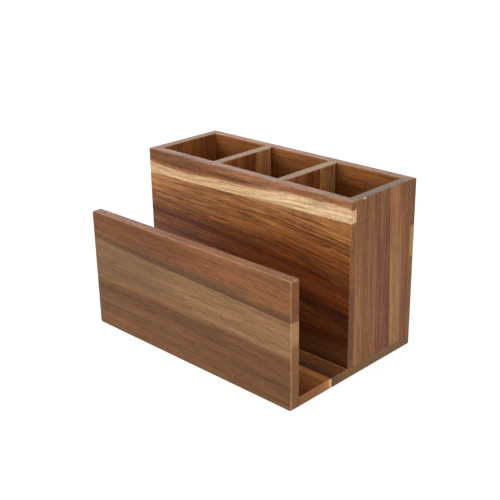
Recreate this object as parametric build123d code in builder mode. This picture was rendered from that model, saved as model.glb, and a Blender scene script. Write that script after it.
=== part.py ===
"""Wooden utensil caddy: three utensil cells behind an open slot for napkins or plates.

Every board is glued up from staves, and each stave is a piece of its own. Millimetres, +Z up,
+X along the boards' length, +Y towards the back, origin at the middle of the underside.
"""

from build123d import *
from math import sqrt
import os

# Outside of the caddy
caddy_width = 254.0
caddy_height = 163.0
panel_height = 117.0

# Boards
panel_thickness = 10.0
base_thickness = 10.0
wall_thickness = 10.0
side_thickness = 10.0
divider_thickness = 10.0

# Clear spaces between the boards
slot_width = 64.0
cell_depth = 71.0
cell_count = 3

# Worked edges and ends
eased_edge = 1.0
corner_rabbet = 3.5  # how far the sides reach into the ends of both walls
foot_radius = 2.5  # along the lower corners of the panel and the base
divider_chamfer = 1.8

# Widths of the narrow staves. The widest stave of each board takes up the rest.
panel_upper_stave_left = 26.5
panel_upper_stave_right = 36.6
front_top_stave_left = 25.0
front_top_stave_right = 18.8
front_bottom_stave = 29.6
back_top_stave = 42.5
back_middle_stave = 30.5
base_front_stave = 42.0
base_rear_stave = 56.5
right_rear_stave_bottom = 21.7
right_rear_stave_top = 28.7
left_rear_stave = 14.0
divider_rear_stave = 25.0

# Dowels: the short end sits in the face of one board, the long end in the edge of the other
dowel_diameter = 5.0
dowel_glue_gap = 0.05
dowel_short_end = 5.5
dowel_long_end = 13.0
dowel_end_chamfer = 0.6
bore_end_room = 0.5
corner_bore_floor = 2.0  # wood left in front of the corner dowels
dowel_end_distance = 22.0
side_dowel_end_distance = 17.0
panel_dowel_count = 4
wall_dowel_count = 4
side_dowel_count = 2
corner_dowel_count = 3
divider_dowel_count = 2

# Places that follow from the sizes
caddy_depth = panel_thickness + slot_width + 2 * wall_thickness + cell_depth
front_face = -caddy_depth / 2
panel_back = front_face + panel_thickness
front_wall_front = panel_back + slot_width
front_wall_back = front_wall_front + wall_thickness
back_wall_front = front_wall_back + cell_depth
back_face = caddy_depth / 2
left_face = -caddy_width / 2
right_face = caddy_width / 2
cells_middle = (front_wall_back + back_wall_front) / 2
wall_height = caddy_height - base_thickness
wall_middle_height = base_thickness + wall_height / 2
side_spacing = caddy_width - side_thickness
side_length = cell_depth + 2 * corner_rabbet
corner_short_end = wall_thickness - corner_rabbet - corner_bore_floor - bore_end_room
cell_pitch = (caddy_width - 2 * side_thickness + divider_thickness) / cell_count
cell_width = cell_pitch - divider_thickness
both_ends = 2  # a grid's count where it holds one thing at each end


# Planes that part staves. Each one faces +X, +Y or +Z.
def facing_right(x):
    """Upright plane across the caddy's width."""
    return Plane(origin=(x, 0, 0), z_dir=(1, 0, 0))


def facing_back(y):
    """Upright plane across the caddy's depth."""
    return Plane(origin=(0, y, 0), z_dir=(0, 1, 0))


def level_glue_plane(left_height, right_height):
    """Glue plane along a board's length, at its heights at the two ends."""
    rise = right_height - left_height
    middle = (left_height + right_height) / 2
    return Plane(origin=(0, 0, middle), z_dir=(-rise, 0, caddy_width))


def upright_glue_plane(bottom_y, top_y):
    """Glue plane up a side, at its places at the bottom and the top."""
    lean = top_y - bottom_y
    return Plane(origin=(0, bottom_y, base_thickness), z_dir=(0, wall_height, -lean))


def between(board, low=None, high=None):
    """The piece of a board that lies after the plane low and before the plane high."""
    with BuildPart() as piece:
        add(board)
        if low:
            split(bisect_by=low, keep=Keep.TOP)
        if high:
            split(bisect_by=high, keep=Keep.BOTTOM)
    return piece.part


def dowel_pitch(length, end_distance, count):
    """Spacing of dowels along a joint whose outer ones lie end_distance from its ends."""
    return (length - 2 * end_distance) / (count - 1)


def dowel_joint(centre, long_end_way, grid, short_end=dowel_short_end):
    """Bores and dowels of one joint, in a grid about a point of the joint's plane."""
    joint = Plane(origin=centre, x_dir=(1, 0, 0), z_dir=long_end_way)
    with BuildPart() as bores:
        with BuildSketch(joint.offset(-short_end - bore_end_room)):
            with GridLocations(*grid):
                Circle(dowel_diameter / 2 + dowel_glue_gap)
        extrude(amount=short_end + dowel_long_end + 2 * bore_end_room)
    with BuildPart() as dowels:
        with BuildSketch(joint.offset(-short_end)):
            with GridLocations(*grid):
                Circle(dowel_diameter / 2)
        extrude(amount=short_end + dowel_long_end)
        chamfer(dowels.edges().filter_by(GeomType.CIRCLE), dowel_end_chamfer)
    return bores.part, dowels.part


def keep_piece(part, label):
    """Names a finished piece and writes it."""
    part.label = label
    export_step(part, f"parts/{label}.step")


# Dowel joints, each centred between the caddy's ends
up, back, front = (0, 0, 1), (0, 1, 0), (0, -1, 0)
panel_pitch = dowel_pitch(caddy_width, dowel_end_distance, panel_dowel_count)
wall_pitch = dowel_pitch(caddy_width, dowel_end_distance, wall_dowel_count)
side_pitch = dowel_pitch(cell_depth, side_dowel_end_distance, side_dowel_count)
corner_pitch = dowel_pitch(wall_height, dowel_end_distance, corner_dowel_count)
divider_pitch = dowel_pitch(wall_height, dowel_end_distance, divider_dowel_count)

panel_grid = (panel_pitch, 0, panel_dowel_count, 1)
wall_grid = (wall_pitch, 0, wall_dowel_count, 1)
side_grid = (side_spacing, side_pitch, both_ends, side_dowel_count)
corner_grid = (side_spacing, corner_pitch, both_ends, corner_dowel_count)
divider_grid = (cell_pitch, divider_pitch, cell_count - 1, divider_dowel_count)

panel_joint = (0, panel_back, base_thickness / 2)
front_wall_joint = (0, front_wall_front + wall_thickness / 2, base_thickness)
back_wall_joint = (0, back_wall_front + wall_thickness / 2, base_thickness)
side_joint = (0, cells_middle, base_thickness)
front_joint = (0, front_wall_back, wall_middle_height)
back_joint = (0, back_wall_front, wall_middle_height)
front_corner_joint = (0, front_wall_back - corner_rabbet, wall_middle_height)
back_corner_joint = (0, back_wall_front + corner_rabbet, wall_middle_height)

panel_bores, front_panel_dowels = dowel_joint(panel_joint, back, panel_grid)
front_wall_bores, front_wall_dowels = dowel_joint(front_wall_joint, up, wall_grid)
back_wall_bores, back_wall_dowels = dowel_joint(back_wall_joint, up, wall_grid)
side_bores, side_dowels = dowel_joint(side_joint, up, side_grid)
front_corner_bores, front_corner_dowels = dowel_joint(
    front_corner_joint, back, corner_grid, corner_short_end
)
back_corner_bores, back_corner_dowels = dowel_joint(
    back_corner_joint, front, corner_grid, corner_short_end
)
front_divider_bores, front_divider_dowels = dowel_joint(front_joint, back, divider_grid)
back_divider_bores, back_divider_dowels = dowel_joint(back_joint, front, divider_grid)

# Front panel: stands in front of the base, rounder at its two lower corners, eased all round
with BuildPart() as front_panel:
    with BuildSketch(Plane.XZ.offset(-front_face)) as panel_outline:
        Rectangle(caddy_width, panel_height, align=(Align.CENTER, Align.MIN))
        fillet(panel_outline.vertices().group_by(Axis.Z)[0], foot_radius)
    extrude(amount=-panel_thickness)
    outline_edges = front_panel.edges().filter_by(Axis.Y, reverse=True)
    top_corners = front_panel.edges().filter_by(Axis.Y).group_by(Axis.Z)[-1]
    fillet(outline_edges + top_corners, eased_edge)
    add(panel_bores, mode=Mode.SUBTRACT)

# What rounding takes off the upper edges of the base's ends in the slot
with BuildPart() as slot_floor_rounding:
    with BuildSketch(Plane.XZ.offset(-panel_back)):
        with Locations((right_face, base_thickness)):
            Rectangle(2 * eased_edge, 2 * eased_edge)
        with Locations((right_face - eased_edge, base_thickness - eased_edge)):
            Circle(eased_edge, mode=Mode.SUBTRACT)
        mirror(about=Plane.YZ)
    extrude(amount=-slot_width)

# Base: runs from the front panel to the back, under all the walls
with BuildPart() as base:
    with BuildSketch(Plane.XY):
        with Locations((0, (panel_back + back_face) / 2)):
            Rectangle(caddy_width, back_face - panel_back)
    extrude(amount=base_thickness)
    underside_edges = base.faces().sort_by(Axis.Z)[0].edges().sort_by(Axis.Y)
    fillet(underside_edges[1:], foot_radius)
    fillet(base.edges().filter_by(Axis.Z).group_by(Axis.Y)[-1], eased_edge)
    add(slot_floor_rounding.part, mode=Mode.SUBTRACT)
    add([panel_bores, front_wall_bores, back_wall_bores, side_bores], mode=Mode.SUBTRACT)

# Carcass: the walls and dividers as they are after glue-up, with every top edge eased
with BuildPart() as carcass:
    with BuildSketch(Plane.XY.offset(base_thickness)):
        with Locations((0, (front_wall_front + back_face) / 2)):
            Rectangle(caddy_width, back_face - front_wall_front)
        with Locations((0, cells_middle)):
            with GridLocations(cell_pitch, 0, cell_count, 1):
                Rectangle(cell_width, cell_depth, mode=Mode.SUBTRACT)
    extrude(amount=wall_height)
    rim_edges = carcass.faces().sort_by(Axis.Z)[-1].edges()
    upright_edges = carcass.edges().filter_by(Axis.Z).sort_by(Axis.X)
    fillet(rim_edges + upright_edges[:2] + upright_edges[-2:], eased_edge)

# Room of the two sides, whose ends sit in rabbets along the walls' ends
with BuildPart() as side_rooms:
    with BuildSketch(Plane.XY.offset(base_thickness)):
        with Locations((0, cells_middle)):
            with GridLocations(side_spacing, 0, both_ends, 1):
                Rectangle(side_thickness, side_length)
    extrude(amount=wall_height)

with BuildPart() as front_wall:
    add(between(carcass.part, high=facing_back(front_wall_back)))
    add(side_rooms.part, mode=Mode.SUBTRACT)
    add([front_wall_bores, front_corner_bores, front_divider_bores], mode=Mode.SUBTRACT)

with BuildPart() as back_wall:
    add(between(carcass.part, low=facing_back(back_wall_front)))
    add(side_rooms.part, mode=Mode.SUBTRACT)
    add([back_wall_bores, back_corner_bores, back_divider_bores], mode=Mode.SUBTRACT)

with BuildPart() as left_side:
    add(between(carcass.part, high=facing_right(0)))
    add(side_rooms.part, mode=Mode.INTERSECT)
    add([side_bores, front_corner_bores, back_corner_bores], mode=Mode.SUBTRACT)

with BuildPart() as right_side:
    add(between(carcass.part, low=facing_right(0)))
    add(side_rooms.part, mode=Mode.INTERSECT)
    add([side_bores, front_corner_bores, back_corner_bores], mode=Mode.SUBTRACT)

inner_boards = between(
    carcass.part, low=facing_back(front_wall_back), high=facing_back(back_wall_front)
)

# Dividers: chamfered down their ends, which leaves a fine shadow line against both walls
dividers = []
for divider in range(cell_count - 1):
    divider_middle = (divider - (cell_count - 2) / 2) * cell_pitch
    divider_left = facing_right(divider_middle - divider_thickness / 2)
    divider_right = facing_right(divider_middle + divider_thickness / 2)
    with BuildPart() as divider_board:
        add(between(inner_boards, low=divider_left, high=divider_right))
        add([front_divider_bores, back_divider_bores], mode=Mode.SUBTRACT)
        with BuildSketch(Plane.XY.offset(base_thickness)):
            with Locations((divider_middle, cells_middle)):
                with GridLocations(divider_thickness, cell_depth, both_ends, both_ends):
                    chamfer_width = divider_chamfer * sqrt(2)
                    Rectangle(chamfer_width, chamfer_width, rotation=45)
        extrude(amount=wall_height, mode=Mode.SUBTRACT)
    dividers.append(divider_board.part)

# Glue planes of the staves
panel_glue = level_glue_plane(
    panel_height - panel_upper_stave_left, panel_height - panel_upper_stave_right
)
front_top_glue = level_glue_plane(
    caddy_height - front_top_stave_left, caddy_height - front_top_stave_right
)
front_bottom_glue = Plane.XY.offset(base_thickness + front_bottom_stave)
back_top_glue = Plane.XY.offset(caddy_height - back_top_stave)
back_bottom_glue = back_top_glue.offset(-back_middle_stave)
base_front_glue = facing_back(panel_back + base_front_stave)
base_rear_glue = facing_back(back_face - base_rear_stave)
right_side_glue = upright_glue_plane(
    back_wall_front - right_rear_stave_bottom, back_wall_front - right_rear_stave_top
)
left_side_glue = facing_back(back_wall_front - left_rear_stave)
divider_glue = facing_back(back_wall_front - divider_rear_stave)

# Each stave: its board and the glue planes before and after it
staves = {
    "front_panel_upper_stave": (front_panel.part, panel_glue, None),
    "front_panel_lower_stave": (front_panel.part, None, panel_glue),
    "base_front_stave": (base.part, None, base_front_glue),
    "base_middle_stave": (base.part, base_front_glue, base_rear_glue),
    "base_rear_stave": (base.part, base_rear_glue, None),
    "front_wall_top_stave": (front_wall.part, front_top_glue, None),
    "front_wall_middle_stave": (front_wall.part, front_bottom_glue, front_top_glue),
    "front_wall_bottom_stave": (front_wall.part, None, front_bottom_glue),
    "back_wall_top_stave": (back_wall.part, back_top_glue, None),
    "back_wall_middle_stave": (back_wall.part, back_bottom_glue, back_top_glue),
    "back_wall_bottom_stave": (back_wall.part, None, back_bottom_glue),
    "right_side_front_stave": (right_side.part, None, right_side_glue),
    "right_side_rear_stave": (right_side.part, right_side_glue, None),
    "left_side_front_stave": (left_side.part, None, left_side_glue),
    "left_side_rear_stave": (left_side.part, left_side_glue, None),
}
for number, board in enumerate(dividers, start=1):
    staves[f"divider_{number}_front_stave"] = (board, None, divider_glue)
    staves[f"divider_{number}_rear_stave"] = (board, divider_glue, None)

dowel_groups = {
    "front_panel_dowels": front_panel_dowels,
    "front_wall_dowels": front_wall_dowels,
    "back_wall_dowels": back_wall_dowels,
    "side_dowels": side_dowels,
    "front_corner_dowels": front_corner_dowels,
    "back_corner_dowels": back_corner_dowels,
    "front_divider_dowels": front_divider_dowels,
    "back_divider_dowels": back_divider_dowels,
}

os.makedirs("parts", exist_ok=True)
for label, (board, low, high) in staves.items():
    keep_piece(between(board, low, high), label)
for label, dowels in dowel_groups.items():
    keep_piece(dowels, label)
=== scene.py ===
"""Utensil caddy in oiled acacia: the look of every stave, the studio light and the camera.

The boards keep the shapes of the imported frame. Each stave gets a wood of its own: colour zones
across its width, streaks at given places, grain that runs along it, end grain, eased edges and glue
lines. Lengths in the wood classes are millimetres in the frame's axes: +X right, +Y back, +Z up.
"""

import logging
import math
from dataclasses import dataclass
from enum import Enum
from typing import Optional, Union

import bpy
from mathutils import Matrix, Vector


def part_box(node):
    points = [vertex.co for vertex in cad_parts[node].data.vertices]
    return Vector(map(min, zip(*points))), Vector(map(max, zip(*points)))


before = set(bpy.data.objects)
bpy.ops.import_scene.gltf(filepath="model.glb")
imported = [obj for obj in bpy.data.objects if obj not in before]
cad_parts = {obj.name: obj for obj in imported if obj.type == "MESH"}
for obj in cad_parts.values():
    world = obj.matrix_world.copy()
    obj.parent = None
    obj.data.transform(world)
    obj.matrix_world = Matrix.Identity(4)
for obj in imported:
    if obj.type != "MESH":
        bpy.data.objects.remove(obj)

MM_PER_METRE = 1000.0

log = logging.getLogger("utensil_caddy")

Colour = tuple[float, float, float, float]
Point = tuple[float, float]
Place = tuple[float, float, float]
Number = Union["Value", float]
Paint = Union[bpy.types.NodeSocket, Colour]


def linear(red: int, green: int, blue: int) -> Colour:
    """Works out a scene colour.

    Args:
        red: Red as a screen shows it, 0 to 255.
        green: Green, the same way.
        blue: Blue, the same way.

    Returns:
        The colour in linear light, opaque.
    """
    shares = (channel / 255 for channel in (red, green, blue))
    low_part, low_slope, offset, power = 0.04045, 12.92, 0.055, 2.4
    light = [
        share / low_slope if share <= low_part else ((share + offset) / (1 + offset)) ** power
        for share in shares
    ]
    return (light[0], light[1], light[2], 1.0)


class Tone(Enum):
    """The colours found in the caddy's acacia, as they show in plain light."""

    CREAM = (238, 206, 164)
    SAPWOOD = (226, 190, 146)
    PALE_TAN = (208, 168, 122)
    STRAW = (160, 119, 78)
    KHAKI = (135, 100, 65)
    DUN = (119, 85, 51)
    CLAY = (170, 117, 78)
    HONEY = (174, 118, 68)
    AMBER = (156, 98, 50)
    GOLDEN = (149, 99, 54)
    OLIVE = (146, 101, 60)
    TOFFEE = (142, 88, 46)
    CARAMEL = (130, 85, 46)
    NUTMEG = (117, 77, 41)
    ROSE_BROWN = (125, 76, 42)
    RUSSET = (124, 70, 30)
    CHESTNUT = (114, 64, 28)
    UMBER = (103, 66, 34)
    GREY_BROWN = (94, 62, 38)
    MAHOGANY = (106, 50, 18)
    OXBLOOD = (84, 38, 14)
    EBONY = (58, 28, 12)

    @property
    def colour(self) -> Colour:
        """The tone in linear light."""
        return linear(*self.value)


class Value:
    """A number in a shader. Sums on it add the Math nodes that work them out."""

    def __init__(self, shader: "Shader", socket: bpy.types.NodeSocket) -> None:
        """Wraps a socket.

        Args:
            shader: The shader that the socket belongs to.
            socket: The output that carries the number.
        """
        self.shader = shader
        self.socket = socket

    def __add__(self, other: Number) -> "Value":
        """Sum."""
        return self.shader.math("ADD", self, other)

    def __radd__(self, other: Number) -> "Value":
        """Sum, from the right."""
        return self.shader.math("ADD", other, self)

    def __sub__(self, other: Number) -> "Value":
        """Difference."""
        return self.shader.math("SUBTRACT", self, other)

    def __rsub__(self, other: Number) -> "Value":
        """Difference, from the right."""
        return self.shader.math("SUBTRACT", other, self)

    def __mul__(self, other: Number) -> "Value":
        """Product."""
        return self.shader.math("MULTIPLY", self, other)

    def __rmul__(self, other: Number) -> "Value":
        """Product, from the right."""
        return self.shader.math("MULTIPLY", other, self)

    def __truediv__(self, other: Number) -> "Value":
        """Quotient."""
        return self.shader.math("DIVIDE", self, other)

    def __rtruediv__(self, other: Number) -> "Value":
        """Quotient, from the right."""
        return self.shader.math("DIVIDE", other, self)

    def __abs__(self) -> "Value":
        """Size without sign."""
        return self.shader.math("ABSOLUTE", self)


class Shader:
    """The node tree of one material or world, and the calls that fill it."""

    def __init__(self, owner: Union[bpy.types.Material, bpy.types.World]) -> None:
        """Empties the owner's tree.

        Args:
            owner: The material or world to fill.
        """
        owner.use_nodes = True
        self.tree = owner.node_tree
        self.tree.nodes.clear()

    def node(
        self, kind: str, settings: Optional[dict] = None, sockets: Optional[dict] = None
    ) -> bpy.types.Node:
        """Adds a node.

        Args:
            kind: The node's type.
            settings: What is set before the sockets: its properties, a ramp's stops as
                (place, colour) pairs, or a curve's points as (place, height) pairs.
            sockets: Inputs by name or number, each with a Value, a socket or a constant.

        Returns:
            The new node.
        """
        made = self.tree.nodes.new(kind)
        for name, setting in (settings or {}).items():
            if name == "stops":
                self._set_stops(made.color_ramp, setting)
            elif name == "points":
                self._set_points(made.mapping, setting)
            else:
                setattr(made, name, setting)
        for name, given in (sockets or {}).items():
            source = given.socket if isinstance(given, Value) else given
            if isinstance(source, bpy.types.NodeSocket):
                self.tree.links.new(source, made.inputs[name])
            else:
                made.inputs[name].default_value = source
        return made

    @staticmethod
    def _set_stops(ramp: bpy.types.ColorRamp, stops: list[tuple[float, Colour]]) -> None:
        """Puts stops on a colour ramp.

        Args:
            ramp: The ramp, with the two stops that it starts with.
            stops: (place, colour) pairs in order, two or more.
        """
        while len(ramp.elements) < len(stops):
            ramp.elements.new(1.0)
        for element, (place, colour) in zip(ramp.elements, stops):
            element.position = place
            element.color = colour

    @staticmethod
    def _set_points(mapping: bpy.types.CurveMapping, points: list[Point]) -> None:
        """Puts points on a curve.

        Args:
            mapping: The curve mapping, with the two points that it starts with.
            points: (place, height) pairs in order, two or more.
        """
        curve = mapping.curves[0]
        while len(curve.points) < len(points):
            curve.points.new(1.0, 1.0)
        for knot, (place, height) in zip(curve.points, points):
            knot.location = (place, height)
        mapping.update()

    def math(self, operation: str, *terms: Number) -> Value:
        """Adds a Math node.

        Args:
            operation: What it does.
            terms: Its one or two numbers.

        Returns:
            The result.
        """
        made = self.node("ShaderNodeMath", {"operation": operation}, dict(enumerate(terms)))
        return Value(self, made.outputs[0])

    def step(self, value: Number, start: float, end: float) -> Value:
        """Eases from 0 to 1 over a range.

        Args:
            value: The number that is read.
            start: Where the result is 0.
            end: Where it is 1, above or below start.

        Returns:
            The result, 0 to 1.
        """
        limits = {"Value": value, "From Min": start, "From Max": end}
        made = self.node("ShaderNodeMapRange", {"interpolation_type": "SMOOTHSTEP"}, limits)
        return Value(self, made.outputs[0])

    def share(self, value: Number, start: float, end: float) -> Value:
        """Goes straight from 0 to 1 over a range.

        Args:
            value: The number that is read.
            start: Where the result is 0.
            end: Where it is 1.

        Returns:
            The result, 0 to 1.
        """
        limits = {"Value": value, "From Min": start, "From Max": end}
        made = self.node("ShaderNodeMapRange", None, limits)
        return Value(self, made.outputs[0])

    def height(self, value: Value, points: tuple[Point, ...]) -> Value:
        """Reads a smooth line through points.

        Args:
            value: The place along the line.
            points: (place, height) pairs in order of place.

        Returns:
            The line's height there, level past its ends.
        """
        places = [place for place, _ in points]
        heights = [height for _, height in points]
        low, rise = min(heights), max(heights) - min(heights)
        if rise == 0:
            return value * 0.0 + low
        share = self.share(value, places[0], places[-1])
        if len(points) == 2:
            return share * (heights[1] - heights[0]) + heights[0]
        reach = places[-1] - places[0]
        scaled = [((p - places[0]) / reach, (h - low) / rise) for p, h in points]
        made = self.node("ShaderNodeFloatCurve", {"points": scaled}, {"Value": share})
        return Value(self, made.outputs[0]) * rise + low

    def vector(self, x: Number, y: Number, z: Number) -> bpy.types.NodeSocket:
        """Joins three numbers into a vector."""
        return self.node("ShaderNodeCombineXYZ", None, {0: x, 1: y, 2: z}).outputs[0]

    def noise(self, place: bpy.types.NodeSocket, detail: float, roughness: float = 0.5) -> Value:
        """Reads smooth noise.

        Args:
            place: Where it is read, in cells.
            detail: How many finer layers it has.
            roughness: How strong those layers are.

        Returns:
            The noise, 0 to 1 and mostly near 0.5.
        """
        sockets = {"Vector": place, "Scale": 1.0, "Detail": detail, "Roughness": roughness}
        return Value(self, self.node("ShaderNodeTexNoise", None, sockets).outputs[0])

    def mix(self, factor: Number, first: Paint, second: Paint) -> bpy.types.NodeSocket:
        """Blends two colours.

        Args:
            factor: How much of the second.
            first: The colour at 0.
            second: The colour at 1.

        Returns:
            The blend.
        """
        sockets = {"Factor": factor, 6: first, 7: second}
        return self.node("ShaderNodeMix", {"data_type": "RGBA"}, sockets).outputs[2]

    def tint(self, factor: Number, paint: Paint, glaze: Colour) -> bpy.types.NodeSocket:
        """Lays a glaze over a colour.

        Args:
            factor: How strong the glaze is.
            paint: The colour under it.
            glaze: What that colour is multiplied by.

        Returns:
            The glazed colour.
        """
        settings = {"data_type": "RGBA", "blend_type": "MULTIPLY"}
        sockets = {"Factor": factor, 6: paint, 7: glaze}
        return self.node("ShaderNodeMix", settings, sockets).outputs[2]


class Lay(Enum):
    """How a board lies: the axes of its grain, its width and its thickness."""

    UPRIGHT = "XZY"
    FLAT = "XYZ"
    STANDING = "ZYX"
    RUNNING_BACK = "YXZ"


@dataclass(frozen=True)
class Streak:
    """A streak at a given place.

    Its line gives the middle as (along the grain, across it) points. It fades past a point that
    isn't at the board's end.
    """

    line: tuple[Point, ...]
    width: float
    soft: float
    tone: Tone
    strength: float = 0.8
    fade_start: float = 0.0
    fade_end: float = 0.0


@dataclass(frozen=True)
class Mark:
    """A small egg-shaped spot, such as the bare wood in a nick. reach is its half sizes."""

    middle: Place
    reach: Place
    tone: Tone
    strength: float = 0.9


@dataclass(frozen=True)
class Joint:
    """A glue line, from its place across the grain at one end of the board to the other's."""

    start: Point
    end: Point

    @classmethod
    def between(cls, before: str, after: str, axis: str, rises: bool) -> "Joint":
        """Finds the joint that two staves share.

        Args:
            before: The stave on its low side.
            after: The stave on its high side.
            axis: The axis across the grain.
            rises: Whether it lies higher at the grain's far end, where it is slanted.

        Returns:
            The joint.
        """
        along = "Z" if before.startswith(("right_side", "left_side", "divider")) else "X"
        near, far = edge(before, "low", along), edge(before, "high", along)
        low, high = edge(after, "low", axis), edge(before, "high", axis)
        ends = (low, high) if rises else (high, low)
        return cls((near, ends[0]), (far, ends[1]))


@dataclass(frozen=True)
class Layer:
    """A layer of noise in the wood.

    size is its cells' length, width and thickness, and weight is how far it counts in a sum.
    """

    size: Place
    detail: float = 2.0
    roughness: float = 0.5
    weight: float = 1.0


@dataclass(frozen=True)
class Grain:
    """Where a point lies in a stave, in the shader.

    place is the point, and true_along and true_across are where it lies along and across the
    grain. along is moved by the stave's seed, level is across with the rings' lean and waves, and
    across is level with the grain's drift. end and edge are 1 on sawn ends and eased edges.
    """

    shader: Shader
    place: bpy.types.NodeSocket
    true_along: Value
    true_across: Value
    level: Value
    along: Value
    across: Value
    through: Value
    end: Value
    edge: Value

    def noise(self, layer: Layer) -> Value:
        """Reads a layer of noise.

        Args:
            layer: The layer.

        Returns:
            The noise, 0 to 1 and mostly near 0.5.
        """
        length, width, thickness = layer.size
        cells = self.shader.vector(
            self.along / length, self.across / width, self.through / thickness
        )
        return self.shader.noise(cells, layer.detail, layer.roughness)

    def swing(self, layer: Layer) -> Value:
        """Reads a layer of noise as a weighted swing about 0."""
        return (self.noise(layer) - 0.5) * layer.weight


@dataclass(frozen=True)
class Timber:
    """The wood of one stave.

    zones are its colours by their places across the grain at its face, and end_zones those of its
    sawn ends. drift is how far the grain has sunk at places along the stave, low_drift the same
    below the heights in turn, and slant how far the rings lean through it. wave and ragged are how
    far the grain and the zones' borders waver. contrast, lines and pores are how strong the figure,
    the dark lines and the pores are. The setting after pores is how pale the eased edges are
    painted: sanded wear, and at high settings a painted highlight as well.
    """

    lay: Lay
    face: float
    zones: tuple[tuple[float, Tone], ...]
    seed: float
    end_zones: tuple[tuple[float, Tone], ...] = ()
    drift: tuple[Point, ...] = ()
    low_drift: tuple[Point, ...] = ()
    turn: Point = (80, 130)
    slant: float = 0.4
    wave: float = 1.0
    ragged: float = 4.0
    contrast: float = 1.0
    lines: float = 0.4
    pores: float = 0.3
    # How pale the eased edges are: sanded wear, and at high settings also a painted highlight.
    wear_and_highlight: float = 0.2
    streaks: tuple[Streak, ...] = ()
    marks: tuple[Mark, ...] = ()
    joints: tuple[Joint, ...] = ()

    SEED_STEP = 371.0
    WAVES = Layer((85, 28, 28), 1.5, weight=4)
    EDGE_NORMALS = (0.985, 0.85)
    END_NORMALS = (0.6, 0.9)
    ZONE_RAGS = Layer((26, 1.6, 2.4), 3, 0.6)
    STREAK_RAGS = Layer((17, 0.9, 1.4), 2, 0.6)
    FIGURE = (
        Layer((190, 8.0, 13.0)),
        Layer((70, 1.8, 2.8), 3, 0.6, weight=1.3),
        Layer((30, 0.85, 1.3), 1, weight=1.5),
        Layer((8, 0.7, 0.9), 2, 0.6, weight=1.5),
    )
    DARK_LINES = Layer((52, 1.0, 1.6))
    DARK_LINE_LIMITS = (0.54, 0.70)
    PORES = Layer((5.5, 0.6, 0.5), 1)
    PORE_CLUMPS = Layer((40, 5.0, 5.0), 1, weight=0.3)
    PORE_LIMITS = (0.56, 0.72)
    END_RINGS = Layer((400, 1.1, 3.5), 2, 0.6, weight=0.7)
    END_SPECKS = Layer((400, 0.7, 0.7), 1, weight=0.3)
    END_LIMITS = (0.28, 0.72)
    # Patches of pale on the eased edges: sanded wear, and at high settings a painted highlight.
    PALE_EDGE_PATCHES = Layer((9, 3, 3))
    PALE_EDGE_LIMITS = (0.2, 0.7)
    LIGHT_GAIN = 0.36
    DARK_LOSS = (0.31, 0.36, 0.41)
    LINE_GLAZE = (160, 118, 92)
    PORE_GLAZE = (150, 112, 84)
    END_GLAZE = (214, 210, 208)
    GLUE_HALF_WIDTH = 0.10
    GLUE_SOFT = 0.14
    GLUE_STRENGTH = 0.5
    GLUE_TONE = Tone.EBONY
    MARK_CORE = 0.7
    ROUGHNESS = 0.46
    FIGURE_ROUGHNESS = 0.10
    PORE_ROUGHNESS = 0.16
    END_ROUGHNESS = 0.04
    SHINE = 0.25
    RELIEF_STRENGTH = 0.35
    RELIEF_DEPTH = 0.00012
    RIB_HEIGHT = 0.6
    PORE_DEPTH = 0.8

    def material(self, name: str) -> bpy.types.Material:
        """Makes the stave's material.

        Args:
            name: The material's name.

        Returns:
            The material.
        """
        made = bpy.data.materials.new(name)
        shader = Shader(made)
        grain = self._grain(shader)
        figure = self._figure(grain)
        pores = self._pores(grain)
        paint = self._zoned(grain, self.zones, grain.across)
        paint = self._hand_streaks(grain, paint)
        paint = shader.mix(figure, self._lightened(shader, paint), self._deepened(shader, paint))
        paint = shader.tint(self._dark_lines(grain) * self.lines, paint, linear(*self.LINE_GLAZE))
        paint = shader.tint(pores * self.pores, paint, linear(*self.PORE_GLAZE))
        paint = shader.mix(grain.end, paint, self._end_grain(grain, paint))
        paint = self._worn_and_highlit_edges(grain, paint)
        paint = self._glued(grain, paint)
        paint = self._marked(grain, paint)
        rough = self.ROUGHNESS + self.FIGURE_ROUGHNESS * figure + self.PORE_ROUGHNESS * pores
        sockets = {
            "Base Color": paint,
            "Roughness": rough + self.END_ROUGHNESS * grain.end,
            "Normal": self._relief(grain, figure, pores),
            "Specular IOR Level": self.SHINE,
        }
        surface = shader.node("ShaderNodeBsdfPrincipled", None, sockets)
        shader.node("ShaderNodeOutputMaterial", None, {"Surface": surface.outputs[0]})
        return made

    def _grain(self, shader: Shader) -> Grain:
        """Works out where a point lies in the stave.

        Args:
            shader: The stave's shader.

        Returns:
            Its place, with the grain's drift, lean and waves.
        """
        coordinates = shader.node("ShaderNodeTexCoord")
        sockets = {0: coordinates.outputs["Object"], "Scale": MM_PER_METRE}
        place = shader.node("ShaderNodeVectorMath", {"operation": "SCALE"}, sockets).outputs[0]
        split = shader.node("ShaderNodeSeparateXYZ", None, {0: place})
        normal = shader.node("ShaderNodeSeparateXYZ", None, {0: coordinates.outputs["Normal"]})
        along, across, through = (Value(shader, split.outputs[axis]) for axis in self.lay.value)
        facing = [abs(Value(shader, normal.outputs[axis])) for axis in self.lay.value]
        flattest = shader.math("MAXIMUM", shader.math("MAXIMUM", facing[0], facing[1]), facing[2])
        moved = along + self.seed * self.SEED_STEP
        leant = across + (through - self.face) * self.slant
        length, width, thickness = self.WAVES.size
        cells = shader.vector(moved / length, leant / width, through / thickness)
        swell = shader.noise(cells, self.WAVES.detail, self.WAVES.roughness)
        level = leant + (swell - 0.5) * (self.WAVES.weight * self.wave)
        return Grain(
            shader=shader,
            place=place,
            true_along=along,
            true_across=across,
            level=level,
            along=moved,
            across=self._drifted(shader, along, leant, level),
            through=through,
            end=shader.step(facing[0], *self.END_NORMALS),
            edge=shader.step(flattest, *self.EDGE_NORMALS),
        )

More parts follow.
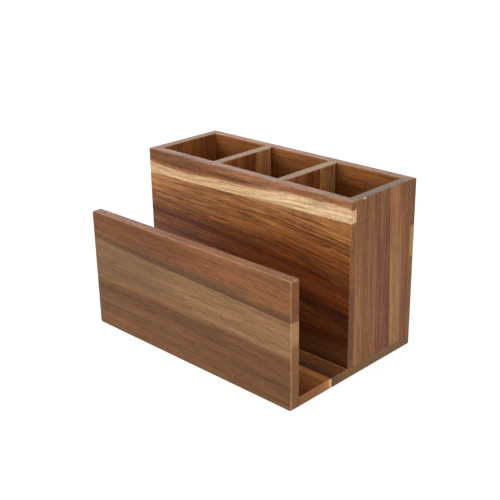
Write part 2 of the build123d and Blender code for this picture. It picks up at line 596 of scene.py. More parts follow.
    def _drifted(self, shader: Shader, along: Value, leant: Value, level: Value) -> Value:
        """Lifts a place by how far the grain has sunk there.

        Args:
            shader: The stave's shader.
            along: Where it lies along the grain.
            leant: Where it lies across, with the rings' lean.
            level: The same, with the waves, which is what is lifted.

        Returns:
            The lifted place.
        """
        if not self.drift:
            return level
        sunk = shader.height(along, self.drift)
        if self.low_drift:
            low = shader.height(along, self.low_drift)
            sunk = low + (sunk - low) * shader.step(leant, *self.turn)
        return level + sunk

    def _zoned(
        self, grain: Grain, zones: tuple[tuple[float, Tone], ...], across: Value
    ) -> bpy.types.NodeSocket:
        """Colours the stave by zones, with ragged borders.

        Args:
            grain: The place in the stave.
            zones: The zones' tones by their places across the grain.
            across: Which of the grain's places across it is used.

        Returns:
            The colour.
        """
        shader = grain.shader
        place = across + grain.swing(self.ZONE_RAGS) * self.ragged
        first, last = zones[0][0], zones[-1][0]
        stops = [((mm - first) / (last - first), tone.colour) for mm, tone in zones]
        ramp = shader.node(
            "ShaderNodeValToRGB", {"stops": stops}, {0: shader.share(place, first, last)}
        )
        return ramp.outputs[0]

    def _hand_streaks(self, grain: Grain, paint: Paint) -> Paint:
        """Lays the listed streaks over a colour.

        Args:
            grain: The place in the stave.
            paint: The colour under them.

        Returns:
            The colour with the streaks.
        """
        shader = grain.shader
        ragged = grain.swing(self.STREAK_RAGS)
        for streak in self.streaks:
            middle = shader.height(grain.true_along, streak.line)
            off = abs(grain.level - middle) + ragged * streak.soft
            half = streak.width / 2
            mask = shader.step(off, half + streak.soft, half) * streak.strength
            if streak.fade_start:
                start = streak.line[0][0]
                mask = mask * shader.step(grain.true_along, start - streak.fade_start, start)
            if streak.fade_end:
                end = streak.line[-1][0]
                mask = mask * shader.step(grain.true_along, end + streak.fade_end, end)
            paint = shader.mix(mask, paint, streak.tone.colour)
        return paint

    def _figure(self, grain: Grain) -> Value:
        """Gives how dark the grain's own figure is, 0 to 1."""
        return grain.shader.share(sum(map(grain.swing, self.FIGURE), 0.5), 0.0, 1.0)

    def _dark_lines(self, grain: Grain) -> Value:
        """Gives the sparse thin dark lines of the grain."""
        return grain.shader.step(grain.noise(self.DARK_LINES), *self.DARK_LINE_LIMITS)

    def _pores(self, grain: Grain) -> Value:
        """Gives the open pores: short dashes along the grain, dots across it."""
        spots = grain.noise(self.PORES) + grain.swing(self.PORE_CLUMPS)
        return grain.shader.step(spots, *self.PORE_LIMITS)

    def _lightened(self, shader: Shader, paint: Paint) -> bpy.types.NodeSocket:
        """Makes a colour lighter, as the stave's pale lines are."""
        sockets = {0: paint, "Scale": 1 + self.LIGHT_GAIN * self.contrast}
        return shader.node("ShaderNodeVectorMath", {"operation": "SCALE"}, sockets).outputs[0]

    def _deepened(self, shader: Shader, paint: Paint) -> bpy.types.NodeSocket:
        """Makes a colour darker and redder, as the stave's dark lines are."""
        left = [1 - loss * self.contrast for loss in self.DARK_LOSS]
        return shader.tint(1.0, paint, (left[0], left[1], left[2], 1.0))

    def _end_grain(self, grain: Grain, paint: Paint) -> bpy.types.NodeSocket:
        """Colours the sawn ends, with rings that lean across them and open pores.

        Args:
            grain: The place in the stave.
            paint: The colour beside them, used where the stave has no zones for its ends.

        Returns:
            The ends' colour.
        """
        shader = grain.shader
        if not self.end_zones:
            return shader.tint(1.0, paint, linear(*self.END_GLAZE))
        base = self._zoned(grain, self.end_zones, grain.true_across)
        spotted = 0.5 + grain.swing(self.END_RINGS) + grain.swing(self.END_SPECKS)
        dark = shader.share(spotted, *self.END_LIMITS)
        return shader.mix(dark, self._lightened(shader, base), self._deepened(shader, base))

    def _worn_and_highlit_edges(self, grain: Grain, paint: Paint) -> Paint:
        """Lightens the eased edges unevenly: sanded wear, and at high settings a painted highlight."""
        edge_wear_and_highlight = grain.shader.share(grain.noise(self.PALE_EDGE_PATCHES), *self.PALE_EDGE_LIMITS) * grain.edge
        return grain.shader.mix(edge_wear_and_highlight * self.wear_and_highlight, paint, Tone.PALE_TAN.colour)

    def _glued(self, grain: Grain, paint: Paint) -> Paint:
        """Draws the thin glue lines where the stave meets its neighbours.

        Args:
            grain: The place in the stave.
            paint: The colour under them.

        Returns:
            The colour with the glue lines.
        """
        shader = grain.shader
        for joint in self.joints:
            off = abs(grain.true_across - shader.height(grain.true_along, (joint.start, joint.end)))
            mask = shader.step(off, self.GLUE_HALF_WIDTH + self.GLUE_SOFT, self.GLUE_HALF_WIDTH)
            paint = shader.mix(mask * self.GLUE_STRENGTH, paint, self.GLUE_TONE.colour)
        return paint

    def _marked(self, grain: Grain, paint: Paint) -> Paint:
        """Puts the small marks on.

        Args:
            grain: The place in the stave.
            paint: The colour under them.

        Returns:
            The colour with the marks.
        """
        shader = grain.shader
        for mark in self.marks:
            sockets = {0: grain.place, 1: mark.middle}
            off = shader.node("ShaderNodeVectorMath", {"operation": "SUBTRACT"}, sockets).outputs[0]
            shrink = {0: off, 1: mark.reach}
            scaled = shader.node("ShaderNodeVectorMath", {"operation": "DIVIDE"}, shrink).outputs[0]
            length = shader.node("ShaderNodeVectorMath", {"operation": "LENGTH"}, {0: scaled})
            mask = shader.step(Value(shader, length.outputs["Value"]), 1.0, self.MARK_CORE)
            paint = shader.mix(mask * mark.strength, paint, mark.tone.colour)
        return paint

    def _relief(self, grain: Grain, figure: Value, pores: Value) -> bpy.types.NodeSocket:
        """Gives the surface its fine ribs and open pores.

        Args:
            grain: The place in the stave.
            figure: How dark the figure is, whose dark lines lie lower.
            pores: Where the pores are.

        Returns:
            The surface's normal.
        """
        sockets = {
            "Strength": self.RELIEF_STRENGTH,
            "Distance": self.RELIEF_DEPTH,
            "Height": (1 - figure) * self.RIB_HEIGHT - pores * self.PORE_DEPTH,
        }
        return grain.shader.node("ShaderNodeBump", None, sockets).outputs[0]


def edge(node: str, side: str, axis: str) -> float:
    """Reads a stave's limit from the frame.

    Args:
        node: The stave.
        side: "low" or "high".
        axis: X, Y or Z.

    Returns:
        Where the stave starts or ends along that axis, in millimetres.
    """
    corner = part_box(node)[1 if side == "high" else 0]
    return corner["XYZ".index(axis)] * MM_PER_METRE


@dataclass
class Board:
    """A board glued up from staves. Its timbers method says what each of them is made of."""

    name: str

    def timbers(self) -> dict[str, Timber]:
        """Gives the wood of each stave, by node."""
        raise NotImplementedError

    def dress(self) -> None:
        """Puts each stave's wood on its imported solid."""
        for node, timber in self.timbers().items():
            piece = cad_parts[node]
            piece.data.materials.clear()
            piece.data.materials.append(timber.material(f"{node}_wood"))
            log.info("%s: %s dressed", self.name, node)


@dataclass
class FrontPanel(Board):
    """The low panel in front of the slot: a rosy stave over a wide khaki and brown one."""

    name: str = "front panel"
    half_length: float = 127.0
    face: float = -82.5

    def timbers(self) -> dict[str, Timber]:
        """Gives the wood of its two staves.

        Returns:
            Each stave's timber, by node.
        """
        joint = Joint.between("front_panel_lower_stave", "front_panel_upper_stave", "Z", rises=False)
        left, right = -self.half_length, self.half_length
        fall = joint.start[1] - joint.end[1]
        seam = joint.start[1]
        upper = Timber(
            lay=Lay.UPRIGHT,
            face=self.face,
            seed=1,
            contrast=0.9,
            lines=0.3,
            drift=((left, 0), (right, fall)),
            zones=(
                (seam - 1, Tone.GREY_BROWN),
                (seam + 3, Tone.UMBER),
                (seam + 8, Tone.NUTMEG),
                (seam + 12, Tone.ROSE_BROWN),
                (seam + 18, Tone.RUSSET),
                (seam + 27, Tone.ROSE_BROWN),
                (seam + 36, Tone.ROSE_BROWN),
            ),
            end_zones=((78, Tone.NUTMEG), (90, Tone.CHESTNUT), (106, Tone.RUSSET), (118, Tone.NUTMEG)),
            streaks=(
                Streak(((70, 104), (right, 101)), 18, 12, Tone.GOLDEN, 0.45, fade_start=90),
                Streak(((left, 106), (-60, 106)), 14, 12, Tone.CHESTNUT, 0.5, fade_end=80),
            ),
            joints=(joint,),
            # Set high: a painted highlight along the eased edges, where the key light catches them, over
            # the sanded wear.
            wear_and_highlight=0.6,
        )
        lower = Timber(
            lay=Lay.UPRIGHT,
            face=self.face,
            seed=2,
            contrast=0.9,
            lines=0.3,
            drift=((left, 0), (right, 4)),
            zones=(
                (0, Tone.NUTMEG),
                (14, Tone.NUTMEG),
                (24, Tone.UMBER),
                (32, Tone.NUTMEG),
                (40, Tone.UMBER),
                (48, Tone.UMBER),
                (51.5, Tone.CARAMEL),
                (54.5, Tone.KHAKI),
                (95, Tone.KHAKI),
            ),
            end_zones=(
                (0, Tone.NUTMEG),
                (48, Tone.CARAMEL),
                (56, Tone.CARAMEL),
                (64, Tone.STRAW),
                (82, Tone.STRAW),
            ),
            streaks=(
                Streak(((left, 72), (-70, 72)), 24, 16, Tone.DUN, 0.7, fade_end=90),
                Streak(((70, 68), (right, 68)), 20, 14, Tone.STRAW, 0.35, fade_start=120),
                Streak(((60, 40), (right, 41)), 7, 6, Tone.NUTMEG, 0.6, fade_start=60),
                Streak(((40, 51), (right, 51)), 2, 2.5, Tone.KHAKI, 0.4, fade_start=60),
            ),
            joints=(joint,),
            # Set high: a painted highlight along the eased edges, where the key light catches them, over
            # the sanded wear.
            wear_and_highlight=0.9,
        )
        return {"front_panel_upper_stave": upper, "front_panel_lower_stave": lower}


@dataclass
class Base(Board):
    """The base under slot and cells."""

    name: str = "base"
    face: float = 10.0

    def timbers(self) -> dict[str, Timber]:
        """Gives the wood of its three staves.

        Returns:
            Each stave's timber, by node.
        """
        front_joint = Joint.between("base_front_stave", "base_middle_stave", "Y", rises=False)
        rear_joint = Joint.between("base_middle_stave", "base_rear_stave", "Y", rises=False)
        front = Timber(
            lay=Lay.FLAT,
            face=self.face,
            seed=11,
            slant=0.2,
            zones=(
                (-72, Tone.OXBLOOD),
                (-64, Tone.MAHOGANY),
                (-54, Tone.CHESTNUT),
                (-46, Tone.TOFFEE),
                (-42, Tone.TOFFEE),
                (-38, Tone.AMBER),
                (-35, Tone.HONEY),
                (-31, Tone.HONEY),
            ),
            end_zones=(
                (-83, Tone.CARAMEL),
                (-52, Tone.TOFFEE),
                (-43, Tone.GOLDEN),
                (-35.5, Tone.HONEY),
                (-33, Tone.PALE_TAN),
                (-30, Tone.SAPWOOD),
            ),
            ragged=2.0,
            joints=(front_joint,),
        )
        middle = Timber(
            lay=Lay.FLAT,
            face=self.face,
            seed=12,
            wave=0.4,
            ragged=2.0,
            zones=(
                (-31, Tone.OXBLOOD),
                (-26, Tone.GREY_BROWN),
                (-20, Tone.UMBER),
                (-16, Tone.CHESTNUT),
                # Painted shade and a painted highlight along the front wall's foot: a thin grey-brown line
                # of shade about 3 mm out from the wall, then a honey band of light at the foot.
                (-12.6, Tone.ROSE_BROWN),
                (-11.6, Tone.GREY_BROWN),
                (-10.4, Tone.ROSE_BROWN),
                (-9.2, Tone.HONEY),
                (4, Tone.NUTMEG),
                (26, Tone.CHESTNUT),
            ),
            end_zones=((-31, Tone.GREY_BROWN), (-10, Tone.DUN), (26, Tone.DUN)),
            joints=(front_joint, rear_joint),
        )
        rear = Timber(
            lay=Lay.FLAT,
            face=self.face,
            seed=13,
            zones=((26, Tone.NUTMEG), (48, Tone.ROSE_BROWN), (64, Tone.UMBER), (83, Tone.NUTMEG)),
            end_zones=((26, Tone.DUN), (60, Tone.DUN), (83, Tone.NUTMEG)),
            joints=(rear_joint,),
        )
        return {"base_front_stave": front, "base_middle_stave": middle, "base_rear_stave": rear}


@dataclass
class FrontWall(Board):
    """The tall wall between slot and cells, with sapwood along its top glue line.

    sapwood_edge is the sapwood's upper edge, from end to end.
    """

    name: str = "front wall"
    half_length: float = 127.0
    face: float = -8.5
    sapwood_edge: tuple[Point, ...] = (
        (-127, 150.8),
        (-87, 148.8),
        (-27, 151.2),
        (33, 154),
        (73, 156.8),
        (127, 158.4),
    )

    def timbers(self) -> dict[str, Timber]:
        """Gives the wood of its three staves.

        Returns:
            Each stave's timber, by node.
        """
        top_joint = Joint.between("front_wall_middle_stave", "front_wall_top_stave", "Z", rises=True)
        low_joint = Joint.between("front_wall_bottom_stave", "front_wall_middle_stave", "Z", rises=True)
        return {
            "front_wall_top_stave": self._top(top_joint),
            "front_wall_middle_stave": self._middle(top_joint, low_joint),
            "front_wall_bottom_stave": self._bottom(low_joint),
        }

    def _top(self, joint: Joint) -> Timber:
        """Gives the top stave: cream sapwood under a speckled red band.

        Args:
            joint: The glue line that it shares.

        Returns:
            Its timber.
        """
        border = self.sapwood_edge[0][1]
        return Timber(
            lay=Lay.UPRIGHT,
            face=self.face,
            seed=21,
            slant=0.15,
            wave=0.3,
            ragged=3.5,
            contrast=1.2,
            pores=0.5,
            lines=0.3,
            drift=tuple((along, border - across) for along, across in self.sapwood_edge),
            zones=(
                (134, Tone.PALE_TAN),
                (border - 6, Tone.SAPWOOD),
                (border - 2.2, Tone.SAPWOOD),
                (border - 0.4, Tone.HONEY),
                (border + 1.6, Tone.TOFFEE),
                (border + 3.2, Tone.CHESTNUT),
                (border + 6, Tone.ROSE_BROWN),
                (border + 13, Tone.ROSE_BROWN),
            ),
            end_zones=(
                (134, Tone.PALE_TAN),
                (155.2, Tone.PALE_TAN),
                (156.4, Tone.RUSSET),
                (163, Tone.ROSE_BROWN),
            ),
            streaks=(
                Streak(((10, 159.8), (self.half_length, 160)), 4, 2.2, Tone.CLAY, 0.9, fade_start=90),
                Streak(((-self.half_length, 144), (0, 146)), 5, 3, Tone.PALE_TAN, 0.6, fade_end=60),
                Streak(((70, 150.5), (self.half_length, 151.5)), 9, 3, Tone.CREAM, 0.7, fade_start=70),
            ),
            joints=(joint,),
        )

    def _middle(self, top_joint: Joint, low_joint: Joint) -> Timber:
        """Gives the middle stave: honey at the top, dark below, its grain sinking to the right.

        Args:
            top_joint: The glue line above it.
            low_joint: The glue line below it.

        Returns:
            Its timber.
        """
        left, right = -self.half_length, self.half_length
        return Timber(
            lay=Lay.UPRIGHT,
            face=self.face,
            seed=22,
            wave=0.7,
            contrast=1.6,
            lines=0.8,
            drift=((left, 0), (-31, 0), (33, 0.5), (73, 3), (right, 6.5)),
            low_drift=((left, 0), (-87, 1), (-47, 3), (-7, 6), (33, 10), (73, 14.5), (right, 21)),
            turn=(65, 145),
            zones=(
                (38, Tone.MAHOGANY),
                (62, Tone.CHESTNUT),
                (72, Tone.CHESTNUT),
                (78, Tone.MAHOGANY),
                (88, Tone.MAHOGANY),
                (92, Tone.RUSSET),
                (96, Tone.RUSSET),
                (98.5, Tone.MAHOGANY),
                (102, Tone.OXBLOOD),
                (104.5, Tone.RUSSET),
                (109, Tone.CARAMEL),
                (116, Tone.AMBER),
                (124, Tone.AMBER),
                (130, Tone.HONEY),
                (165, Tone.HONEY),
            ),
            end_zones=(
                (38, Tone.GREY_BROWN),
                (56, Tone.UMBER),
                (74, Tone.GREY_BROWN),
                (96, Tone.ROSE_BROWN),
                (118, Tone.NUTMEG),
                (132, Tone.ROSE_BROWN),
                (145, Tone.CARAMEL),
            ),
            streaks=(
                Streak(((left, 86), (-60, 85)), 12, 6, Tone.ROSE_BROWN, 0.85, fade_end=60),
                Streak(((left, 107), (-80, 104)), 3, 3, Tone.RUSSET, 0.5, fade_end=50),
                Streak(((left, 122), (-60, 122)), 6, 4, Tone.HONEY, 0.6, fade_end=60),
                Streak(((40, 136.5), (right, 136)), 9, 4, Tone.HONEY, 1.0, fade_start=60),
                Streak(((75, 124), (right, 122.5)), 6, 4, Tone.RUSSET, 0.5, fade_start=40),
                Streak(((60, 109), (right, 106)), 5, 4, Tone.MAHOGANY, 0.35, fade_start=40),
                Streak(((20, 92), (right, 98)), 14, 16, Tone.MAHOGANY, 0.7, fade_start=60),
                Streak(((40, 112), (right, 106)), 8, 10, Tone.RUSSET, 0.5, fade_start=70),
                Streak(((60, 77), (right, 73)), 12, 8, Tone.MAHOGANY, 0.7, fade_start=50),
                Streak(((60, 66), (113, 57), (right, 55)), 7, 6, Tone.EBONY, 0.75, fade_start=30),
                Streak(((60, 50), (right, 46)), 8, 5, Tone.OXBLOOD, 0.5, fade_start=50),
                Streak(
                    ((left, 127), (-31, 127), (33, 129.5), (73, 126), (right, 120)),
                    0.8,
                    1.4,
                    Tone.CHESTNUT,
                    0.45,
                ),
                Streak(((45, 130), (73, 126), (right, 120)), 0.8, 1.4, Tone.MAHOGANY, 0.7, fade_start=25),
                Streak(((40, 127), (73, 123.5), (right, 117)), 0.6, 1.2, Tone.MAHOGANY, 0.5, fade_start=40),
                Streak(((60, 132), (right, 124.5)), 0.6, 1.2, Tone.CHESTNUT, 0.5, fade_start=30),
                Streak(((left, 116), (-67, 111), (-7, 105)), 1.2, 2.0, Tone.MAHOGANY, 0.6, fade_end=40),
                Streak(((left, 120.5), (-60, 120), (0, 119)), 0.8, 1.5, Tone.CHESTNUT, 0.5, fade_end=50),
                Streak(((60, 116), (right, 109)), 0.8, 1.4, Tone.MAHOGANY, 0.5, fade_start=40),
                Streak(((80, 137), (right, 132)), 1.0, 1.4, Tone.CHESTNUT, 0.6, fade_start=40),
            ),
            joints=(top_joint, low_joint),
        )

    def _bottom(self, joint: Joint) -> Timber:
        """Gives the bottom stave, the darkest of the wall.

        Args:
            joint: The glue line that it shares.

        Returns:
            Its timber.
        """
        return Timber(
            lay=Lay.UPRIGHT,
            face=self.face,
            seed=23,
            zones=((8, Tone.OXBLOOD), (20, Tone.UMBER), (32, Tone.OXBLOOD), (42, Tone.OXBLOOD)),
            end_zones=((8, Tone.NUTMEG), (25, Tone.GREY_BROWN), (42, Tone.UMBER)),
            joints=(joint,),
        )


@dataclass
class BackWall(Board):
    """The wall behind the cells."""

    name: str = "back wall"
    half_length: float = 127.0
    face: float = 72.5

    def timbers(self) -> dict[str, Timber]:
        """Gives the wood of its three staves.

        Returns:
            Each stave's timber, by node.
        """
        top_joint = Joint.between("back_wall_middle_stave", "back_wall_top_stave", "Z", rises=True)
        low_joint = Joint.between("back_wall_bottom_stave", "back_wall_middle_stave", "Z", rises=True)
        left, right = -self.half_length, self.half_length
        top = Timber(
            lay=Lay.UPRIGHT,
            face=self.face,
            seed=31,
            contrast=1.1,
            drift=((left, 0), (0, -2), (right, 3)),
            zones=(
                (118, Tone.MAHOGANY),
                (134, Tone.RUSSET),
                (142, Tone.CHESTNUT),
                (150, Tone.TOFFEE),
                (158, Tone.AMBER),
                (165, Tone.ROSE_BROWN),
            ),
            end_zones=((118, Tone.CHESTNUT), (140, Tone.RUSSET), (152, Tone.UMBER), (163, Tone.RUSSET)),
            joints=(top_joint,),
        )
        middle = Timber(
            lay=Lay.UPRIGHT,
            face=self.face,
            seed=32,
            drift=((left, 1), (-30, -1), (right, 2)),
            zones=((88, Tone.PALE_TAN), (104, Tone.SAPWOOD), (122, Tone.PALE_TAN)),
            end_zones=((88, Tone.OLIVE), (94, Tone.STRAW), (116, Tone.STRAW), (122, Tone.OLIVE)),
            joints=(top_joint, low_joint),
        )
        bottom = Timber(
            lay=Lay.UPRIGHT,
            face=self.face,
            seed=33,
            drift=((left, -2), (40, 3), (right, 1)),
            zones=(
                (8, Tone.UMBER),
                (30, Tone.CHESTNUT),
                (52, Tone.NUTMEG),
                (70, Tone.RUSSET),
                (92, Tone.UMBER),
            ),
            end_zones=((8, Tone.CARAMEL), (40, Tone.NUTMEG), (92, Tone.CARAMEL)),
            joints=(low_joint,),
        )
        return {
            "back_wall_top_stave": top,
            "back_wall_middle_stave": middle,
            "back_wall_bottom_stave": bottom,
        }


@dataclass
class Sides(Board):
    """The two outer sides, whose grain stands upright."""

    name: str = "sides"
    height: float = 163.0
    right_face: float = 127.0
    left_inner_face: float = -117.0
    nick_row: float = 9.0

    def timbers(self) -> dict[str, Timber]:
        """Gives the wood of the staves of both sides.

        Returns:
            Each stave's timber, by node.
        """
        right_joint = Joint.between("right_side_front_stave", "right_side_rear_stave", "Y", rises=False)
        left_joint = Joint.between("left_side_front_stave", "left_side_rear_stave", "Y", rises=False)
        return {
            "right_side_front_stave": self._right_front(right_joint),
            "right_side_rear_stave": self._right_rear(right_joint),
            "left_side_front_stave": self._left_front(left_joint),
            "left_side_rear_stave": self._left_rear(left_joint),
        }

    def _right_front(self, joint: Joint) -> Timber:
        """Gives the right side's wide reddish stave, with a nick painted on its top outer edge.

        Args:
            joint: The glue line that it shares.

        Returns:
            Its timber.
        """
        rim = self.height
        lean = joint.start[1] - joint.end[1]
        return Timber(
            lay=Lay.STANDING,
            face=self.right_face,
            seed=41,
            drift=((10, -lean), (rim, 0)),
            zones=(
                (-6, Tone.TOFFEE),
                (3, Tone.CARAMEL),
                (12, Tone.ROSE_BROWN),
                (20, Tone.CARAMEL),
                (28, Tone.CHESTNUT),
                (36, Tone.ROSE_BROWN),
                (40, Tone.CHESTNUT),
                (45, Tone.CHESTNUT),
            ),
            lines=0.5,
            end_zones=((0, Tone.UMBER), (30, Tone.GREY_BROWN), (60, Tone.GREY_BROWN)),
            streaks=(
                Streak(((10, 3), (63, 3)), 4.5, 2.5, Tone.OLIVE, 0.7, fade_end=30),
                Streak(((10, 22), (rim, 15)), 1.5, 3.0, Tone.TOFFEE, 0.35),
            ),
            marks=(
                # The nick is painted, not cut: pale bare wood at the edge, then painted shade just under
                # it.
                Mark((self.right_face, self.nick_row, rim - 0.5), (1.2, 2.3, 0.8), Tone.SAPWOOD),
                Mark((self.right_face, self.nick_row, rim - 2.0), (1.0, 2.2, 0.6), Tone.OXBLOOD, 0.7),
            ),
            joints=(joint,),
        )

    def _right_rear(self, joint: Joint) -> Timber:
        """Gives the right side's narrow stave, golden beside the joint.

        Args:
            joint: The glue line that it shares.

        Returns:
            Its timber.
        """
        lean = joint.start[1] - joint.end[1]
        seam = joint.end[1]
        return Timber(
            lay=Lay.STANDING,
            face=self.right_face,
            seed=42,
            drift=((10, -lean), (self.height, 0)),
            zones=(
                (seam - 1, Tone.GOLDEN),
                (seam + 13, Tone.GOLDEN),
                (seam + 18, Tone.ROSE_BROWN),
                (seam + 24, Tone.RUSSET),
                (seam + 30, Tone.NUTMEG),
            ),
            end_zones=((40, Tone.GREY_BROWN), (60, Tone.GREY_BROWN), (75, Tone.UMBER)),
            streaks=(Streak(((10, 58), (90, 56)), 9, 5, Tone.STRAW, 0.6, fade_end=50),),
            joints=(joint,),
        )

    def _left_front(self, joint: Joint) -> Timber:
        """Gives the left side's wide stave, striped red and dark.

        Args:
            joint: The glue line that it shares.

        Returns:
            Its timber.
        """
        return Timber(
            lay=Lay.STANDING,
            face=self.left_inner_face,
            seed=43,
            contrast=1.4,
            lines=0.6,
            zones=(
                (0, Tone.RUSSET),
                (10, Tone.TOFFEE),
                (20, Tone.ROSE_BROWN),
                (30, Tone.TOFFEE),
                (42, Tone.RUSSET),
                (50, Tone.RUSSET),
                (60, Tone.CHESTNUT),
            ),
            end_zones=((0, Tone.DUN), (60, Tone.DUN)),
            joints=(joint,),
        )

    def _left_rear(self, joint: Joint) -> Timber:
        """Gives the left side's narrow stave.

        Args:
            joint: The glue line that it shares.

        Returns:
            Its timber.
        """
        return Timber(
            lay=Lay.STANDING,
            face=self.left_inner_face,
            seed=44,
            zones=((57, Tone.MAHOGANY), (66, Tone.CHESTNUT), (74, Tone.RUSSET)),
            end_zones=((57, Tone.DUN), (75, Tone.DUN)),
            joints=(joint,),
        )


@dataclass
class Dividers(Board):
    """The two boards between the cells."""

    name: str = "dividers"
    count: int = 2
    back_end: float = 72.5

    def timbers(self) -> dict[str, Timber]:
        """Gives the wood of the staves of both dividers.

        Returns:
            Each stave's timber, by node.
        """
        found = {}
        for number in range(1, self.count + 1):
            front, rear = f"divider_{number}_front_stave", f"divider_{number}_rear_stave"
            joint = Joint.between(front, rear, "Y", rises=False)
            face = edge(front, "high", "X")
            found[front] = Timber(
                lay=Lay.STANDING,
                face=face,
                seed=50 + number,
                contrast=1.4,
                lines=0.6,
                zones=(
                    (0, Tone.RUSSET),
                    (8, Tone.TOFFEE),
                    (16, Tone.RUSSET),
                    (24, Tone.TOFFEE),
                    (31, Tone.CHESTNUT),
                    (35, Tone.MAHOGANY),
                    (39, Tone.MAHOGANY),
                    (43, Tone.CHESTNUT),
                    (49, Tone.MAHOGANY),
                ),
                end_zones=((0, Tone.DUN), (50, Tone.KHAKI)),
                joints=(joint,),
            )
            found[rear] = Timber(
                lay=Lay.STANDING,
                face=face,
                seed=55 + number,
                contrast=1.3,
                zones=(
                    (46, Tone.GOLDEN),
                    (56, Tone.OLIVE),
                    (64, Tone.GOLDEN),
                    # Painted shade: the last 2.4 mm beside the back wall is near black, for the dark line
                    # of shade in the corner where the divider meets the back wall.
                    (self.back_end - 3.2, Tone.OLIVE),
                    (self.back_end - 2.4, Tone.EBONY),
                    (self.back_end, Tone.EBONY),
                ),
                ragged=0.4,
                wave=0.1,
                slant=0.0,
                end_zones=((46, Tone.KHAKI), (74, Tone.KHAKI)),
                joints=(joint,),
            )
        return found


@dataclass
class Dowels(Board):
    """The hidden dowels that hold the boards together: plain pale beech."""

    name: str = "dowels"
    reach: float = 90.0

    def timbers(self) -> dict[str, Timber]:
        """Gives the wood of every group of dowels, laid along its dowels.

        Returns:
            Each group's timber, by node.
        """
        found = {}
        groups = sorted(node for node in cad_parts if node.endswith("_dowels"))
        for seed, node in enumerate(groups, start=70):
            stands = node.endswith(("wall_dowels", "side_dowels"))
            found[node] = Timber(
                lay=Lay.STANDING if stands else Lay.RUNNING_BACK,
                face=0,
                seed=seed,
                zones=((-self.reach, Tone.PALE_TAN), (self.reach, Tone.SAPWOOD)),
            )
        return found


@dataclass(frozen=True)
class Softbox:
    """A square softbox that faces the caddy: its place and width in metres, and its power."""

    name: str
    place: Place
    width: float
    watts: float

    AIM = (0.0, 0.0, 0.08)

    def hang(self) -> None:
        """Hangs it and turns it to the caddy."""
        lamp = bpy.data.lights.new(self.name, "AREA")
        lamp.size = self.width
        lamp.energy = self.watts
        box = bpy.data.objects.new(self.name, lamp)
        bpy.context.scene.collection.objects.link(box)
        box.location = self.place
        beam = Vector(self.AIM) - Vector(self.place)
        box.rotation_euler = beam.to_track_quat("-Z", "Y").to_euler()
        log.info("studio: %s hung", self.name)


@dataclass(frozen=True)
class PhotoCamera:
    """The camera, set where the photograph was taken from.

    Its angles are degrees, its places metres, and its lens and sensor millimetres. right_shift
    and rise move it past the caddy's middle, in the picture's own directions.
    """

    azimuth: float = 44.497
    elevation: float = 21.687
    roll: float = -0.988
    distance: float = 0.887268
    middle: Place = (0.0, 0.0, 0.0815)
    right_shift: float = 0.001198
    rise: float = 0.003865
    lens: float = 68.242
    sensor_width: float = 36.0

    def set_up(self) -> None:
        """Places it and makes it the scene's camera."""
        azimuth, elevation, roll = map(math.radians, (self.azimuth, self.elevation, self.roll))
        level = Vector((math.cos(azimuth), math.sin(azimuth), 0.0))
        towards = Vector((math.sin(azimuth), -math.cos(azimuth), 0.0))
        back = towards * math.cos(elevation) + Vector((0.0, 0.0, math.sin(elevation)))
        upright = back.cross(level)
        right = level * math.cos(roll) + upright * math.sin(roll)
        up = upright * math.cos(roll) - level * math.sin(roll)
        place = Vector(self.middle) + right * self.right_shift + up * self.rise
        place += back * self.distance
        optics = bpy.data.cameras.new("camera")
        optics.sensor_width = self.sensor_width
        optics.lens = self.lens
        camera = bpy.data.objects.new("camera", optics)
        bpy.context.scene.collection.objects.link(camera)
        axes = Matrix((right, up, back)).transposed().to_4x4()
        camera.matrix_world = Matrix.Translation(place) @ axes
        bpy.context.scene.camera = camera
        log.info("studio: camera set")


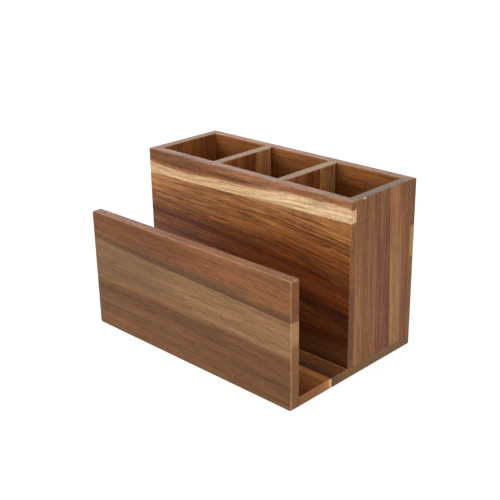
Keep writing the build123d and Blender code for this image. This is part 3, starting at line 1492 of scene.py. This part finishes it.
@dataclass
class Studio:
    """The plain pale studio: floor, daylight, softboxes and camera. Its sizes are metres."""

    floor_width: float = 12.0
    opening: Point = (0.248, 0.159)
    daylight: float = 0.55
    paper_white: float = 0.82
    floor_glow: float = 1.15
    shadow_share: float = 0.25
    softboxes: tuple[Softbox, ...] = (
        Softbox("key_softbox", (-1.0, -1.3, 1.3), 1.2, 18.0),
        Softbox("fill_softbox", (1.5, -0.5, 0.9), 1.0, 10.0),
        Softbox("rim_softbox", (-1.05, 1.07, 0.7), 1.3, 10.5),
    )

    WHITE = (1.0, 1.0, 1.0, 1.0)

    def build(self) -> None:
        """Sets up the floor, the light and the camera."""
        self._lay_floor()
        self._light_room()
        for softbox in self.softboxes:
            softbox.hang()
        PhotoCamera().set_up()
        bpy.context.scene.view_settings.view_transform = "Standard"

    def _seen(self, shader: Shader) -> Value:
        """Tells where the camera, a reflection or a transparent thing looks at the backdrop.

        Args:
            shader: The backdrop's shader.

        Returns:
            1 where one of them looks, and 0 for all other light.
        """
        path = shader.node("ShaderNodeLightPath")
        camera, mirrored, through = (
            Value(shader, path.outputs[f"Is {kind} Ray"])
            for kind in ("Camera", "Glossy", "Transmission")
        )
        return shader.math("MAXIMUM", shader.math("MAXIMUM", camera, mirrored), through)

    def _lay_floor(self) -> None:
        """Lays a white floor that keeps a faint shadow.

        It lies in the plane of the caddy's underside, so it is open under the caddy, where the
        wood shows from below.
        """
        bpy.ops.object.select_all(action="DESELECT")
        bpy.ops.mesh.primitive_plane_add(size=self.floor_width)
        floor = bpy.context.object
        floor.name = "studio_floor"
        inner_width = self.floor_width / 2
        shrink = (self.opening[0] / inner_width, self.opening[1] / inner_width, 1.0)
        bpy.ops.object.mode_set(mode="EDIT")
        bpy.ops.mesh.select_all(action="SELECT")
        bpy.ops.mesh.inset(thickness=(self.floor_width - inner_width) / 2)
        bpy.ops.transform.resize(value=shrink)
        bpy.ops.mesh.delete(type="ONLY_FACE")
        bpy.ops.object.mode_set(mode="OBJECT")
        floor.data.materials.append(self._floor_finish())
        log.info("studio: floor laid")

    def _floor_finish(self) -> bpy.types.Material:
        """Makes the floor's finish: paper for the light, and white with a faint shadow to the eye.

        Returns:
            The material.
        """
        made = bpy.data.materials.new("white_floor")
        shader = Shader(made)
        grey = (self.paper_white, self.paper_white, self.paper_white, 1.0)
        paper = shader.node("ShaderNodeBsdfDiffuse", None, {"Color": grey}).outputs[0]
        shade = shader.node("ShaderNodeBsdfDiffuse", None, {"Color": self.WHITE}).outputs[0]
        sockets = {"Color": self.WHITE, "Strength": self.floor_glow}
        glow = shader.node("ShaderNodeEmission", None, sockets).outputs[0]
        sockets = {0: self.shadow_share, 1: glow, 2: shade}
        seen = shader.node("ShaderNodeMixShader", None, sockets).outputs[0]
        sockets = {0: self._seen(shader), 1: paper, 2: seen}
        surface = shader.node("ShaderNodeMixShader", None, sockets).outputs[0]
        shader.node("ShaderNodeOutputMaterial", None, {"Surface": surface})
        return made

    def _light_room(self) -> None:
        """Fills the room with soft even light, white where it is seen."""
        world = bpy.data.worlds.new("studio_daylight")
        bpy.context.scene.world = world
        shader = Shader(world)
        strength = self.daylight + self._seen(shader) * (1.0 - self.daylight)
        sockets = {"Color": self.WHITE, "Strength": strength}
        light = shader.node("ShaderNodeBackground", None, sockets).outputs[0]
        shader.node("ShaderNodeOutputWorld", None, {"Surface": light})
        log.info("studio: daylight set")


def main() -> None:
    """Dresses the caddy board by board and sets the studio round it."""
    logging.basicConfig(level=logging.INFO, format="%(message)s")
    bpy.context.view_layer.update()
    boards = (FrontPanel(), Base(), FrontWall(), BackWall(), Sides(), Dividers(), Dowels())
    for board in boards:
        board.dress()
    Studio().build()


if __name__ == "__main__":
    main()
